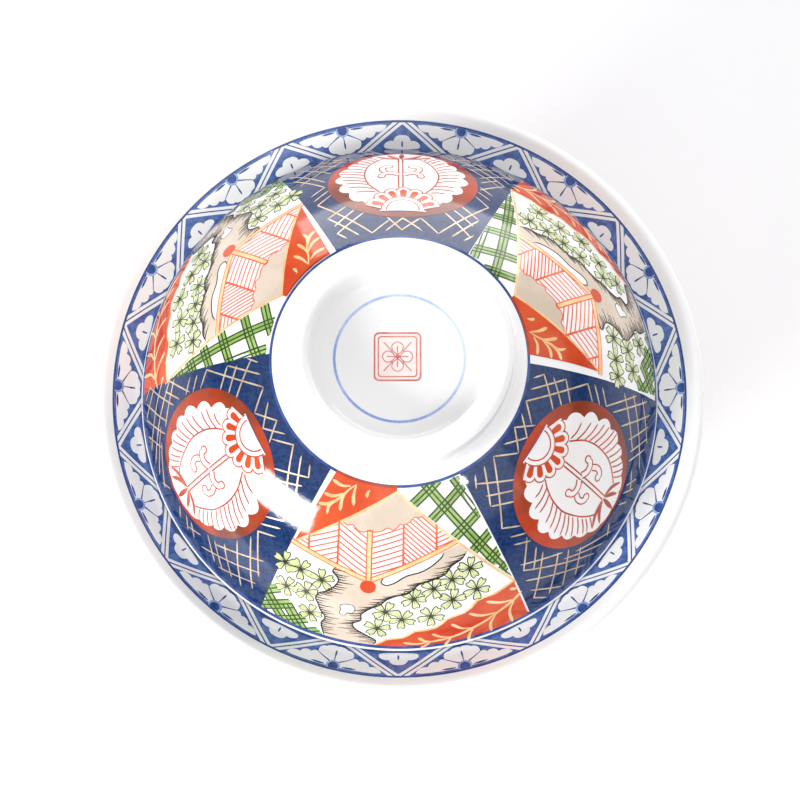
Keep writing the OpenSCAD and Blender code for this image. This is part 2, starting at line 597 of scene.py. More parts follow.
def chart_mesh(mesh, spots):
    """Gives the mesh its flat map, from one spot for each vertex."""
    layer = mesh.uv_layers.new(name="OFBake")
    corners = np.empty(len(mesh.loops), dtype=np.int32)
    mesh.loops.foreach_get("vertex_index", corners)
    layer.data.foreach_set("uv", spots[corners].astype(np.float32).ravel())


def piece(name, body, materials, mesh):
    """A finished piece from its mesh: at the origin, riding on its body."""
    thing = bpy.data.objects.new(name, mesh)
    bpy.context.scene.collection.objects.link(thing)
    for material in materials:
        mesh.materials.append(material)
    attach(thing, body)
    return thing


def fired(name, body, material, skin, coats):
    """Lays coats of enamel on a skin. Each coat is a sheet with the turns at which it is repeated:
    degrees, then where needed a stretch round the axis and a slide outward."""
    whole = bmesh.new()
    for sheet, turns in coats:
        slab = sheet.slab()
        flat = np.array([v.co[:] for v in slab.verts])
        for turn, *shift in turns:
            for v, place in zip(slab.verts, skin.lay(flat, math.radians(turn), *shift)):
                v.co = place
            add_to(whole, slab)
        slab.free()
    middle = skin.lay(np.array([[x, skin.reach[2] + y, 0] for x, y in ((0, 0), (1, 0), (0, 1))]), 0)
    facing = np.cross(middle[1] - middle[0], middle[2] - middle[0])
    if float(facing @ skin.normals(middle[:1])[0]) < 0:
        bmesh.ops.reverse_faces(whole, faces=whole.faces[:])
    mesh = mesh_of(name, whole)
    places = places_of(mesh)
    mesh.normals_split_custom_set_from_vertices(skin.normals(places).tolist())
    chart_mesh(mesh, skin.chart(places))
    piece(name, body, [material], mesh)


def spun(rows, closed=False):
    """Rows of radius and height turned about +Z into a skin with merged seams and poles."""
    sector = bmesh.new()
    verts = [sector.verts.new((r * MM, 0, z * MM)) for r, z in rows]
    pairs = list(zip(verts, verts[1:])) + ([(verts[-1], verts[0])] if closed else [])
    edges = [sector.edges.new(pair) for pair in pairs]
    share = math.tau / SECTORS
    bmesh.ops.spin(
        sector,
        geom=verts + edges,
        cent=(0, 0, 0),
        axis=(0, 0, 1),
        angle=share,
        steps=SIDES // SECTORS,
        use_merge=False,
    )
    work = bmesh.new()
    onward = Matrix.Rotation(share, 3, "Z")
    for _ in range(SECTORS):
        add_to(work, sector)
        bmesh.ops.rotate(sector, verts=sector.verts[:], cent=(0, 0, 0), matrix=onward)
    sector.free()
    bmesh.ops.remove_doubles(work, verts=work.verts[:], dist=1e-6)
    bmesh.ops.recalc_face_normals(work, faces=work.faces[:])
    return work


def hoops(name, body, material, rings):
    """Painted rings round a turned piece, each along rows of its outline."""
    whole = bmesh.new()
    for rows in rings:
        normal = left_of(np.gradient(rows, axis=0))
        ring = spun(np.vstack([rows + normal * RING, (rows + normal * ROOT)[::-1]]), closed=True)
        add_to(whole, ring)
        ring.free()
    mesh = mesh_of(name, whole)
    mesh.set_sharp_from_angle(angle=math.radians(CREASE))
    chart_mesh(mesh, 0.5 + places_of(mesh)[:, :2] / CHART_WIDTH)
    piece(name, body, [material], mesh)


def turned_piece(name, body, runs, *materials):
    """A whole turned piece. Its second material, if any, is for the bare face it stands on."""
    rows = np.vstack(list(runs.values()))
    rows[[0, -1], 0] = 0
    work = spun(rows)
    for face in work.faces:
        if len(materials) > 1 and face.calc_center_median().z < BARE_Z * MM:
            face.material_index = 1
    mesh = mesh_of(name, work)
    places = places_of(mesh)
    radius, outward = polar(places)
    near = np.argmin((radius[:, None] - rows[:, 0]) ** 2 + (places[:, 2:] / MM - rows[:, 1]) ** 2, axis=1)
    gone = gone_along(rows)
    chart_mesh(mesh, 0.5 + CHART_REACH * (gone / gone[-1])[near][:, None] * outward)
    thing = piece(name, body, materials, mesh)
    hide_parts(body)


# Finishes


def colour(red, green, blue):
    """A colour as a screen shows it, 0 to 255, made linear."""
    channels = []
    for level in (red, green, blue):
        share = level / 255
        channels.append(share / 12.92 if share <= 0.04045 else ((share + 0.055) / 1.055) ** 2.4)
    return (*channels, 1.0)


def add(tree, kind, inputs=(), **settings):
    """A node with its settings, and its inputs linked or given a value."""
    made = tree.nodes.new(kind)
    for key, value in settings.items():
        setattr(made, key, value)
    for socket, value in dict(inputs).items():
        if isinstance(value, bpy.types.NodeSocket):
            tree.links.new(value, made.inputs[socket])
        else:
            made.inputs[socket].default_value = value
    return made


def noise(tree, place, scale, detail, rough=0.5):
    given = {"Vector": place, "Scale": scale, "Detail": detail, "Roughness": rough}
    return add(tree, "ShaderNodeTexNoise", given).outputs["Fac"]


def maths(tree, kind, *values, clamp=False):
    return add(tree, "ShaderNodeMath", enumerate(values), operation=kind, use_clamp=clamp).outputs[0]


def remap(tree, value, low, high, to_low=0.0, to_high=1.0, curve="LINEAR"):
    given = {"Value": value, "From Min": low, "From Max": high, "To Min": to_low, "To Max": to_high}
    return add(tree, "ShaderNodeMapRange", given, interpolation_type=curve).outputs[0]


def mixed(tree, share, first, second):
    """One colour turned into another by a share. Sockets 6 and 7 are the node's two colours."""
    return add(tree, "ShaderNodeMix", {"Factor": share, 6: first, 7: second}, data_type="RGBA").outputs[2]


def new_group(name, inputs):
    """A node group, what it is given, and the place of the point that is shaded."""
    group = bpy.data.node_groups.new(name, "ShaderNodeTree")
    for key, value in inputs.items():
        kind = "NodeSocketFloat" if isinstance(value, float) else "NodeSocketColor"
        socket = group.interface.new_socket(name=key, in_out="INPUT", socket_type=kind)
        socket.default_value = value
    for key, kind in (("Colour", "Color"), ("Roughness", "Float"), ("Height", "Float")):
        group.interface.new_socket(name=key, in_out="OUTPUT", socket_type="NodeSocket" + kind)
    place = add(group, "ShaderNodeTexCoord").outputs["Object"]
    return group, group.nodes.new("NodeGroupInput").outputs, place


def give_out(group, *results):
    """Ends a group with its colour, roughness and height."""
    end = group.nodes.new("NodeGroupOutput")
    for result, socket in zip(results, end.inputs):
        group.links.new(result, socket)
    return group


def pooled_colour():
    """A fired colour: pooled in patches, brushed fine, a little uneven in gloss and height."""
    inputs = {"Thin": (1, 1, 1, 1), "Deep": (0, 0, 0, 1), "Patch Scale": 120.0, "Grain": 0.3, "Gloss": 0.15}
    group, given, place = new_group("pooled_colour", inputs)
    patch = noise(group, place, given["Patch Scale"], 3.0, 0.6)
    grain = noise(group, place, 1500.0, 2.0, 0.55)
    depth = remap(group, patch, 0.36, 0.64, curve="SMOOTHSTEP")
    fine = maths(group, "SUBTRACT", grain, 0.5)
    brushed = maths(group, "MULTIPLY", fine, given["Grain"])
    share = maths(group, "MULTIPLY_ADD", brushed, 3.0, depth, clamp=True)
    rough = maths(group, "MULTIPLY_ADD", fine, 0.25, given["Gloss"], clamp=True)
    height = maths(group, "MULTIPLY_ADD", share, 0.4, grain)
    return give_out(group, mixed(group, share, given["Thin"], given["Deep"]), rough, height)


def glaze_skin():
    """Clear glaze over white clay: faint tint, rare pinholes, soft ripple, scattered scuffs in its gloss."""
    inputs = {"White": (1, 1, 1, 1), "Shade": (1, 1, 1, 1), "Gloss": 0.1}
    group, given, place = new_group("glaze_skin", inputs)
    cloud = noise(group, place, 28.0, 2.0)
    ripple = noise(group, place, 240.0, 1.0)
    pits = add(group, "ShaderNodeTexVoronoi", {"Vector": place, "Scale": 130.0, "Randomness": 1.0})
    pit = remap(group, pits.outputs["Distance"], 0.012, 0.03, 1.0, 0.0)
    scuff = remap(group, noise(group, place, 620.0, 4.0, 0.7), 0.6, 0.72)
    tint = mixed(group, cloud, given["White"], given["Shade"])
    specked = mixed(group, pit, tint, colour(224, 219, 211))
    rough = maths(group, "MULTIPLY_ADD", scuff, 0.1, given["Gloss"])
    height = maths(group, "MULTIPLY_ADD", pit, -0.6, ripple)
    return give_out(group, specked, rough, height)


POOLED = pooled_colour()
GLAZE = glaze_skin()
BUMP_DEPTH = 0.0001


def finish(name, group, given, metal=0.0, bump=0.05):
    """A material whose colour, gloss and height come from a group."""
    material = bpy.data.materials.new(name)
    material.use_nodes = True
    tree = material.node_tree
    tree.nodes.clear()
    source = add(tree, "ShaderNodeGroup", given, node_tree=group).outputs
    given = {"Height": source["Height"], "Strength": bump, "Distance": BUMP_DEPTH}
    relief = add(tree, "ShaderNodeBump", given)
    surface = {
        "Base Color": source["Colour"],
        "Roughness": source["Roughness"],
        "Normal": relief.outputs["Normal"],
        "Metallic": metal,
        "IOR": 1.5,
    }
    shader = add(tree, "ShaderNodeBsdfPrincipled", surface)
    add(tree, "ShaderNodeOutputMaterial", {"Surface": shader.outputs["BSDF"]})
    return material


def glazed(name, white, shade, gloss, bump):
    given = {"White": colour(*white), "Shade": colour(*shade), "Gloss": gloss}
    return finish(name, GLAZE, given, bump=bump)


def enamel(name, thin, deep, patch, grain=0.3, gloss=0.06, metal=0.0):
    given = {"Thin": colour(*thin), "Deep": colour(*deep), "Patch Scale": patch}
    return finish(name, POOLED, {**given, "Grain": grain, "Gloss": gloss}, metal)


PORCELAIN = glazed("porcelain", (246, 245, 244), (240, 239, 239), 0.07, 0.06)
MARK_WHITE = glazed("painted_white", (244, 240, 238), (238, 235, 235), 0.08, 0.1)
BARE_CLAY = glazed("bare_foot", (222, 213, 196), (206, 195, 176), 0.75, 0.9)
COBALT = enamel("cobalt", (30, 60, 110), (20, 42, 84), 800.0, grain=1.0, gloss=0.05)
BORDER_BLUE = enamel("border_cobalt", (90, 122, 184), (64, 92, 150), 500.0, grain=0.7, gloss=0.07)
RING_BLUE = enamel("ring_cobalt", (204, 220, 246), (134, 160, 222), 42.0)
PALE_BLUE = enamel("pale_cobalt", (158, 184, 226), (128, 158, 208), 200.0, gloss=0.07)
LINE_BLUE = enamel("line_cobalt", (58, 88, 156), (42, 66, 128), 300.0, gloss=0.07)
VERMILION = enamel("vermilion", (214, 84, 42), (198, 64, 29), 60.0)
RUST = enamel("rust_rim", (188, 66, 36), (124, 56, 30), 42.0, grain=0.2)
SEAL_RED = enamel("seal_red", (226, 144, 132), (202, 104, 94), 240.0)
SEAL_WASH = enamel("seal_wash", (248, 236, 233), (246, 226, 222), 160.0)
BRICK = enamel("brick_line", (206, 92, 66), (168, 66, 48), 160.0)
ORANGE = enamel("orange_line", (244, 118, 76), (226, 88, 52), 160.0)
PEACH = enamel("peach", (255, 214, 160), (250, 190, 134), 200.0)
CREAM = enamel("cream_gold", (248, 214, 160), (236, 184, 128), 220.0, metal=0.1)
GILT = enamel("gilt_line", (224, 200, 172), (192, 164, 136), 300.0, gloss=0.3, metal=0.25)
BUFF = enamel("buff", (220, 204, 187), (208, 190, 171), 80.0)
LEAF = enamel("leaf_green", (166, 196, 116), (136, 170, 88), 140.0)
DARK_LEAF = enamel("dark_leaf", (66, 92, 40), (42, 64, 28), 200.0)
STEM = enamel("blossom_outline", (60, 68, 40), (40, 48, 30), 220.0)
PETAL = enamel("petal", (218, 224, 176), (200, 210, 148), 160.0)
INK = enamel("ink", (58, 50, 42), (34, 32, 28), 260.0)

# The two turned pieces, the angle of a ring's sharp edges, and the size of the round maps
BARE_Z = 0.35
CREASE = 40
CHART_REACH = 0.49
CHART_WIDTH = 0.17
turned_piece("bowl_porcelain", "bowl", bowl_runs(BODY_STEP), PORCELAIN, BARE_CLAY)
turned_piece("lid_porcelain", "lid", lid_runs(BODY_STEP), PORCELAIN)

# Skins to paint on. On the fan a panel reaches from the base line to the edge line. In the lid's
# recess and the bowl's well a drawing keeps its size
FAN = 0.682
BASE_LINE = 51.8
EDGE_LINE = 101.9
OVER_RING = 51.15
SLIDE_FADE = 10
lid_fine = lid_runs(SKIN_STEP)
bowl_fine = bowl_runs(SKIN_STEP)
edge_out = lid_fine["edge"][: int(np.argmax(lid_fine["edge"][:, 0])) + 1]
grip_foot = lid_fine["grip"][lid_fine["grip"][:, 0] > GRIP_FOOT_R]
dome_rows = np.vstack([grip_foot, lid_fine["dome"], edge_out])
DOME = Skin(dome_rows, FAN, (LID_BASE_R, BASE_LINE))
band_rows = bowl_fine["band"][int(np.argmin(bowl_fine["band"][:, 0])) :]
band_rows = band_rows[np.concatenate([[True], np.diff(band_rows[:, 0]) > 0])]
BAND_SPREAD = math.cos(math.radians(FLARE))
BAND_LINE = RIM_LINE_R / BAND_SPREAD
BAND = Skin(np.vstack([band_rows, LIP_END]), BAND_SPREAD, (RIM_LINE_R, BAND_LINE))
OUTSIDE = Skin(bowl_fine["outside"][::-1], FAN, (BOWL_BASE_R, BASE_LINE), hand=-1, out=-1)
RECESS = Skin(np.array([[0.01 + 0.25 * i, RECESS_Z] for i in range(76)]), 1.0, (0.01, 0.01))
WELL = Skin(bowl_fine["well"][1:], 1.0, (5.0, 5.0))

# Where the panels stand: the transfers of the lid were laid by hand, a little unevenly
EVEN_SCENES = [(-91.7,), (28.3,), (148.3,)]
EVEN_BLUES = [(-31.7,), (88.3,), (-151.7,)]
LID_SCENES = [(-91.45, 1.0, 0.25), (29.8, 1.0, 0.3), (149.5, 1.0, 1.1)]
LID_GROUNDS = [(-31.7,), (89.1,), (-151.7,)]
LID_FIGURES = [(-31.7, 1.0, 0.5), (88.4, 1.0, 1.7), (-154.0, 1.0, 1.5)]


class Paints(dict):
    """One sheet for each colour of a drawing, made when it is first asked for."""

    def __init__(self, kind=Sheet):
        super().__init__()
        self.kind = kind

    def __missing__(self, key):
        self[key] = self.kind()
        return self[key]


# The blue panel: mottled ground, gilt lattice and a shell flower in a round rim


def blue_panel():
    on = Paints()
    ground = np.vstack([fan_arc(-21.3, 20.6, BASE_LINE), fan_arc(20.2, -19.4, EDGE_LINE)])
    on["cobalt"].area(ground, GROUND, broad=True)
    inner = BASE_LINE - 0.5
    fence = [fan(-20.4, inner), fan(19.7, inner), *fan_arc(19.5, -18.7, EDGE_LINE - 1.5)]
    gilt = [
        [(-12.9, 51.8), (-19.6, 60.6)], [(-16.2, 51.4), (-18.7, 54.3)],
        [(-9.3, 52.1), (-21.8, 67.4), (-18.2, 71.0)], [(-17.9, 53.2), (-10.4, 61.0)],
        [(-18.4, 57.7), (-12.6, 62.7)], [(-19.6, 60.6), (-14.6, 64.9)], [(-9.3, 52.1), (-4.4, 57.4)],
        [(-5.1, 52.4), (0.2, 57.0), (4.6, 52.1)], [(-4.4, 57.4), (0.4, 52.4), (4.3, 57.4)],
        [(3.7, 56.3), (8.2, 51.6), (22.4, 66.6), (18.8, 70.2)], [(11.7, 51.3), (19.8, 59.9)],
        [(14.9, 50.7), (17.4, 53.2), (10.4, 59.9)], [(18.2, 56.1), (12.7, 61.7)],
        [(19.9, 59.6), (14.8, 63.7)], [(23.5, 68.8), (19.6, 72.7)],
        [(24.3, 71.6), (20.7, 74.9), (30.2, 85.2)], [(20.7, 77.9), (32.1, 91.0)],
        [(19.4, 82.6), (29.9, 94.3)], [(18.2, 87.4), (26.6, 94.9)], [(16.0, 89.9), (23.5, 96.0)],
        [(13.8, 91.0), (20.7, 96.6)], [(6.3, 95.2), (9.6, 98.8)], [(8.5, 94.9), (12.4, 98.2)],
        [(3.2, 96.0), (5.7, 99.1)], [(27.7, 79.8), (16.8, 90.8)], [(29.6, 83.6), (15.2, 97.6)],
        [(31.2, 88.0), (22.3, 96.8)], [(12.8, 94.2), (8.6, 98.0)],
        [(-19.3, 74.9), (-26.2, 81.8), (-10.7, 99.3)], [(-22.1, 71.0), (-18.7, 73.8)],
        [(-22.9, 73.5), (-19.3, 76.6)], [(-19.6, 79.3), (-24.6, 84.4)],
        [(-19.3, 82.1), (-30.0, 92.4), (-27.9, 96.3)], [(-25.7, 79.6), (-16.2, 87.9)],
        [(-27.9, 84.9), (-14.6, 99.3)], [(-29.0, 89.0), (-22.9, 97.9)], [(-17.0, 86.6), (-26.8, 96.0)],
        [(-14.6, 88.9), (-22.9, 97.9)], [(-17.3, 89.9), (-7.3, 99.6)], [(-13.7, 91.8), (-3.4, 99.6)],
        [(-12.0, 92.2), (-18.6, 99.0)], [(-2.1, 96.6), (-5.0, 99.6)],
    ]
    for line in gilt:
        on["gilt"].line(line, 0.42, OVER, "brush", fence)
    shell(on)
    return on


def shell(on):
    """The round rim with a shell flower, half a chrysanthemum, tendrils and a sprig."""
    on["rust"].area(round_line((0.6, 76.2), 19.4, 18.9, step=1.0), ABOVE, broad=True)
    notches = [
        (-9.7, 65.0), (-12.0, 69.3), (-14.0, 74.1), (-14.7, 79.1), (-13.1, 83.5), (-11.0, 87.1),
        (-8.1, 90.6), (-4.2, 93.3), (0.8, 93.9), (5.7, 93.0), (9.4, 90.4), (12.6, 87.2), (14.8, 83.7),
        (16.4, 79.3), (15.8, 74.3), (14.1, 69.4), (10.5, 64.8),
    ]
    swells = [1.5, 1.9, 1.9, 1.6, 1.2, 1.0, 0.8, 0.5, 0.5, 0.7, 0.8, 1.1, 1.5, 1.9, 1.9, 1.6]
    outline = scalloped(notches, swells, 0.75, np.array([0.8, 77.0]))
    on["white"].area([*outline, (9.0, 62.4), (-8.4, 62.4)], LINES, broad=True)
    heart = np.array([0.3, 60.3])
    for turn in (0, 22, -22, 43.5, -43.5, 65.5, -65.5):
        tip = 10.2 if turn else 10.4
        on["brick"].area(lobe(heart, turn, 3.95, 4.6, tip), TOP, broad=True)
        on["white"].area(lobe(heart, turn, 3.15, 4.9, tip - 0.36), TOP + 0.02, broad=True)
        on["red"].area(lobe(heart, turn, 1.75, 5.4, tip - 1.35), TOP + 0.04)
    for level, (radius, key) in enumerate(((5.8, "brick"), (5.4, "white"), (4.4, "brick"), (4.0, "white"))):
        half_round = round_line(heart, radius, a0=0, a1=180, step=0.5)
        on[key].area(half_round, TOP + 0.04 + 0.02 * level, broad=True)
    on["white"].line([(-5.6, 60.2), (6.2, 60.2)], 0.5, TOP + 0.02)
    on["line"].line([(-5.4, 59.9), (6.0, 59.9)], 0.28, TOP + 0.02)
    on["white"].line([(-9.0, 63.1), (-5.2, 61.2)], 0.45, TOP + 0.12)
    on["white"].line([(9.8, 63.1), (6.0, 61.2)], 0.45, TOP + 0.12)
    left_vein = [
        (-5.4, 68.4), (-6.5, 69.9), (-7.9, 73.0), (-8.5, 76.4), (-8.4, 79.4), (-6.9, 83.8),
        (-5.2, 86.9), (-3.3, 89.2),
    ]
    right_vein = [
        (6.4, 68.5), (7.7, 70.2), (9.2, 72.6), (10.2, 75.9), (10.4, 79.4), (9.8, 83.2), (8.1, 86.4),
        (6.1, 89.1),
    ]
    for vein in (left_vein, right_vein):
        on["brick"].curve(vein, 0.42, TOP)
    ribs = [
        [(-6.5, 68.4), (-10.4, 69.0)], [(-6.4, 70.0), (-12.5, 71.0)], [(-7.4, 71.8), (-12.6, 72.9)],
        [(-7.9, 74.0), (-13.1, 76.3)], [(-8.2, 76.0), (-13.2, 78.4)], [(-8.4, 78.0), (-13.2, 80.4)],
        [(-8.3, 79.7), (-12.6, 82.4)], [(-8.1, 81.1), (-11.7, 83.9)], [(-7.7, 82.5), (-10.9, 85.6)],
        [(-7.0, 84.1), (-9.5, 86.9)], [(-6.4, 85.7), (-8.5, 88.5)], [(-5.7, 86.8), (-7.5, 89.4)],
        [(-4.8, 87.9), (-6.1, 90.2)], [(7.1, 68.5), (12.4, 69.3)], [(7.8, 70.2), (14.0, 72.1)],
        [(9.0, 72.4), (14.9, 74.3)], [(9.8, 74.1), (15.8, 76.4)], [(10.3, 75.9), (16.0, 78.2)],
        [(10.4, 77.8), (16.1, 80.3)], [(10.4, 79.5), (15.7, 81.6)], [(10.4, 81.1), (14.4, 83.1)],
        [(10.1, 82.7), (13.7, 85.0)], [(9.4, 84.3), (12.8, 86.6)], [(8.9, 85.4), (11.4, 87.8)],
        [(8.0, 86.8), (10.6, 89.3)], [(7.2, 87.7), (8.8, 89.8)],
    ]
    for a, b in np.array(ribs):
        b = a + (b - a) * (1.04 + 0.32 * np.clip((a[1] - 72) / 12, 0, 1))
        on["brick"].curve([a, (a + b) / 2 + [0, 0.35], b], 0.38, TOP, "brush")
    on["brick"].line([(0.45, 70.6), (0.85, 88.4)], 0.4, TOP)
    on["brick"].line([(1.55, 70.4), (1.95, 88.4)], 0.4, TOP)
    curls = [
        ([(0.4, 77.4), (-1.2, 78.3), (-2.9, 78.3), (-4.1, 77.3)], (-4.0, 76.7)),
        ([(1.7, 77.4), (3.3, 78.3), (5.0, 78.2), (6.2, 77.2)], (6.0, 76.6)),
        ([(-2.9, 79.2), (-3.6, 80.7), (-3.2, 82.2), (-2.0, 82.9)], (-1.7, 82.6)),
        ([(5.2, 79.2), (5.9, 80.7), (5.6, 82.2), (4.5, 82.9)], (4.2, 82.6)),
    ]
    for index, (curl, bulb) in enumerate(curls):
        lift = TOP + 0.04 if index < 2 else TOP
        for key, width, reach, rise in (("brick", 1.95, 1.12, 0.0), ("white", 1.2, 0.76, 0.02)):
            on[key].curve(curl, width, lift + rise)
            on[key].area(round_line(bulb, reach, step=0.35), lift + rise)
    leaves = [
        ([(1.2, 88.4), (1.15, 91.0), (1.1, 94.0)], 1.3),
        ([(0.8, 88.5), (-2.1, 90.0), (-4.2, 92.8)], 1.15),
        ([(0.6, 88.3), (-3.6, 89.4), (-6.6, 91.5)], 1.0),
        ([(1.6, 88.5), (3.6, 90.4), (5.0, 92.5)], 1.15),
        ([(1.8, 88.3), (5.2, 89.3), (7.9, 91.5)], 1.0),
    ]
    for line, width in leaves:
        on["sprig"].curve(line, width, TOP + 0.02, "spindle")


# The scene panel


def vermilion_corner(on):
    """The inner corner with a cream spray, and the gold lines that frame the wedge of the scene."""
    corner = [*fan_arc(-18.6, 0.2, OVER_RING), (0.3, 52.8), (-26.0, 70.2), fan(-19.7, 66), fan(-19.2, 58)]
    on["red"].area(corner, RING + 0.016, broad=True)
    on["rust"].area(stroke(fan_arc(-18.5, 0.1, OVER_RING + 0.35), 0.7), ABOVE)
    spray = [
        [(-10.6, 51.6), (-12.4, 53.1), (-13.9, 54.9), (-15.5, 56.5), (-17.4, 58.3), (-17.8, 60.9)],
        [(-12.2, 52.2), (-14.6, 52.4), (-17.2, 51.2)], [(-13.6, 54.4), (-16.6, 55.6), (-19.2, 55.2)],
        [(-15.4, 56.3), (-18.0, 58.0), (-20.4, 58.2)], [(-13.4, 54.2), (-14.2, 56.4), (-14.5, 59.4)],
        [(-10.7, 51.9), (-11.2, 54.6), (-11.0, 57.6)], [(-7.0, 52.8), (-7.6, 53.8), (-7.7, 55.0)],
    ]
    for index, line in enumerate(spray):
        on["cream"].curve(line, 1.15 if index else 1.0, ABOVE + 0.02, "leaf")
    for end in ((-26.4, 70.4), (31.2, 81.8)):
        on["gold"].line([(0.3, 52.9), end], 0.62, ABOVE)


def folded_screen(on):
    """A buff field under the apex and a screen of hatched leaves with two rails."""
    top_edge = [
        (-14.3, 61.9), (-12.2, 63.0), (-10.9, 62.7), (-9.5, 64.2), (-8.0, 64.5), (-6.4, 63.7),
        (-5.4, 64.3), (-3.8, 64.0), (-2.0, 62.9), (-0.6, 63.4), (0.6, 62.7), (1.2, 61.8), (2.2, 61.9),
        (3.7, 61.2), (4.7, 59.9), (6.3, 59.9), (7.5, 59.4),
    ]
    on["buff"].area([(0.3, 53.2), *top_edge], GROUND, broad=True)
    on["orange"].line([(-21.9, 66.9), *top_edge], 0.3, OVER)
    panels = [
        ([(-26.2, 69.7), (-22.0, 66.9), (-22.0, 71.3)], 0.45, 1.2),
        ([(-22.0, 67.0), (-14.4, 62.0), (-14.4, 74.3), (-22.0, 71.3)], -0.42, 1.55),
        ([(-14.4, 62.0), (-7.2, 64.9), (-7.2, 77.4), (-14.4, 74.3)], 0.75, 1.72),
        ([(-5.6, 64.6), (2.1, 62.2), (2.1, 73.6), (-5.6, 77.3)], -0.38, 1.52),
        ([(2.1, 62.2), (5.0, 60.1), (7.6, 59.6), (10.5, 62.4), (10.5, 69.3), (2.1, 73.4)], 0.97, 1.42),
        ([(10.5, 62.4), (15.0, 66.7), (10.5, 69.2)], -0.42, 1.3),
    ]
    for outline, slope, gap in panels:
        on["blush"].area(outline, GROUND, broad=True)
        hatch(on, outline, slope, gap)
    for x, y0, y1 in ((-22.0, 66.7, 71.4), (-14.4, 61.8, 74.2), (2.1, 61.9, 73.5), (10.5, 62.0, 69.3)):
        on["orange"].line([(x, y0), (x, y1)], 0.5, ABOVE)
    for a, b in (((-26.6, 70.0), (-7.0, 78.1)), ((-5.8, 78.1), (15.6, 67.2))):
        on["orange"].line([a, b], 1.5, ABOVE)
        on["peach"].line([a, b], 0.95, LINES)
    on["orange"].line([(-6.45, 63.8), (-6.45, 78.6)], 1.55, LINES)
    on["peach"].line([(-6.45, 64.2), (-6.45, 78.4)], 0.95, TOP)
    on["red"].area(round_line((-6.6, 80.3), 2.0, step=0.5), TOP, broad=True)


def hatch(on, panel, slope, gap):
    """Parallel lines across a convex panel."""
    panel = np.array(panel, float)
    x0, x1 = panel[:, 0].min() - 0.5, panel[:, 0].max() + 0.5
    rise = panel[:, 1] - slope * panel[:, 0]
    level = rise.min() + gap * 0.7
    while level < rise.max():
        line = [(x0, level + slope * x0), (x1, level + slope * x1)]
        on["orange"].line(line, 0.36, OVER, "line", panel)
        level += gap


def edge_hatch(on, line, way, length, gap):
    """A thin ink line with short tapering strokes that start from it."""
    smooth = flowing(line)
    on["ink"].area(stroke(smooth, 0.38, "brush"), LINES)
    gone = gone_along(smooth)
    for k in range(1, int(gone[-1] / gap)):
        start = np.array([np.interp(k * gap, gone, smooth[:, axis]) for axis in (0, 1)])
        end = start + np.array(way) * length * (0.75 + 0.35 * math.sin(k * 2.4))
        on["ink"].curve([start, (start + end) / 2 + [0, 0.12], end], 0.36, LINES, "flick")


def old_trunk(on):
    """A trunk in buff with inked edges, a white hollow along it and a knot hole."""
    left = [
        (-14.8, 75.3), (-15.6, 76.7), (-14.5, 78.1), (-14.1, 79.5), (-15.2, 81.4), (-17.0, 83.1),
        (-19.1, 84.2), (-20.1, 86.0), (-19.5, 88.0), (-18.9, 90.2), (-17.9, 92.0), (-18.1, 93.4),
        (-19.0, 94.9), (-18.8, 98.2), (-18.6, 99.9),
    ]
    right = [
        (18.2, 70.3), (16.9, 72.3), (14.3, 74.1), (12.6, 76.5), (9.0, 78.2), (6.2, 79.2), (3.4, 82.0),
        (0.4, 82.9), (-1.9, 84.2), (-3.6, 86.0), (-6.2, 87.6), (-8.3, 89.7), (-8.5, 91.9),
        (-10.6, 93.4), (-10.1, 95.3), (-7.9, 97.1), (-5.4, 98.9), (-4.6, 100.0), (-5.2, 101.4),
    ]
    foot = fan_arc(-10.4, -3.0, EDGE_LINE)
    trunk = [*left, *foot, *right[::-1], (16.0, 68.2), (-5.8, 79.0), (-7.2, 78.6)]
    on["buff"].area(trunk, GROUND, broad=True)
    edge_hatch(on, left, (1, 0.06), 3.7, 0.86)
    edge_hatch(on, right, (-1, 0.14), 4.1, 0.9)
    cut = [
        (12.3, 70.0), (11.6, 71.6), (9.0, 74.0), (6.4, 75.5), (3.0, 76.6), (-0.2, 78.9), (-2.2, 79.5),
        (-3.3, 78.7), (-2.7, 77.3),
    ]
    on["white"].area([*cut, (4.4, 73.9), (11.6, 70.2)], OVER, broad=True)
    on["ink"].area(stroke(flowing(cut), 0.34, "brush"), LINES)
    hole = [
        (-13.6, 87.2), (-12.0, 86.7), (-10.3, 87.0), (-9.9, 88.3), (-10.6, 89.5), (-12.0, 89.6),
        (-12.6, 90.6), (-13.9, 90.2), (-13.6, 88.8),
    ]
    hole_line = flowing(hole, closed=True)
    on["ink"].area(grown(hole_line, 0.12), OVER, broad=True)
    on["white"].area(grown(hole_line, -0.1), ABOVE, broad=True)


def blossom(on, at, turn, size):
    """Five notched petals with dark outlines."""
    half = [(1.1, 0.52), (2.2, 0.86), (3.05, 0.62)]
    shape = [(0.25, 0), *((far, -across) for far, across in half), (2.72, 0), *half[::-1]]
    for petal_turn in range(180 - turn, -180 - turn, -72):
        petal = petal_line(at, petal_turn, shape, size)
        on["stem"].area(grown(petal, 0.15), OVER)
        on["petal"].area(grown(petal, -0.12), ABOVE)
        way = ways(petal_turn)[0] * size
        on["stem"].line([at + way * 0.2, at + way * 1.6], 0.26, LINES, "flick")
    on["stem"].area(round_line(at, 0.26, step=0.2), LINES)


def plaid(on, bands, fence, reach):
    """Crossing green bands, each with a dark line in its middle and at its edges."""
    for a, b in np.array(bands, float):
        on["leaf"].area(trimmed(stroke(even([a, b]), 2 * reach), fence), GROUND)
        side = left_of(b - a)
        for shift in (-reach, 0, reach):
            on["dark"].line([a + side * shift, b + side * shift], 0.44, OVER, "line", fence)


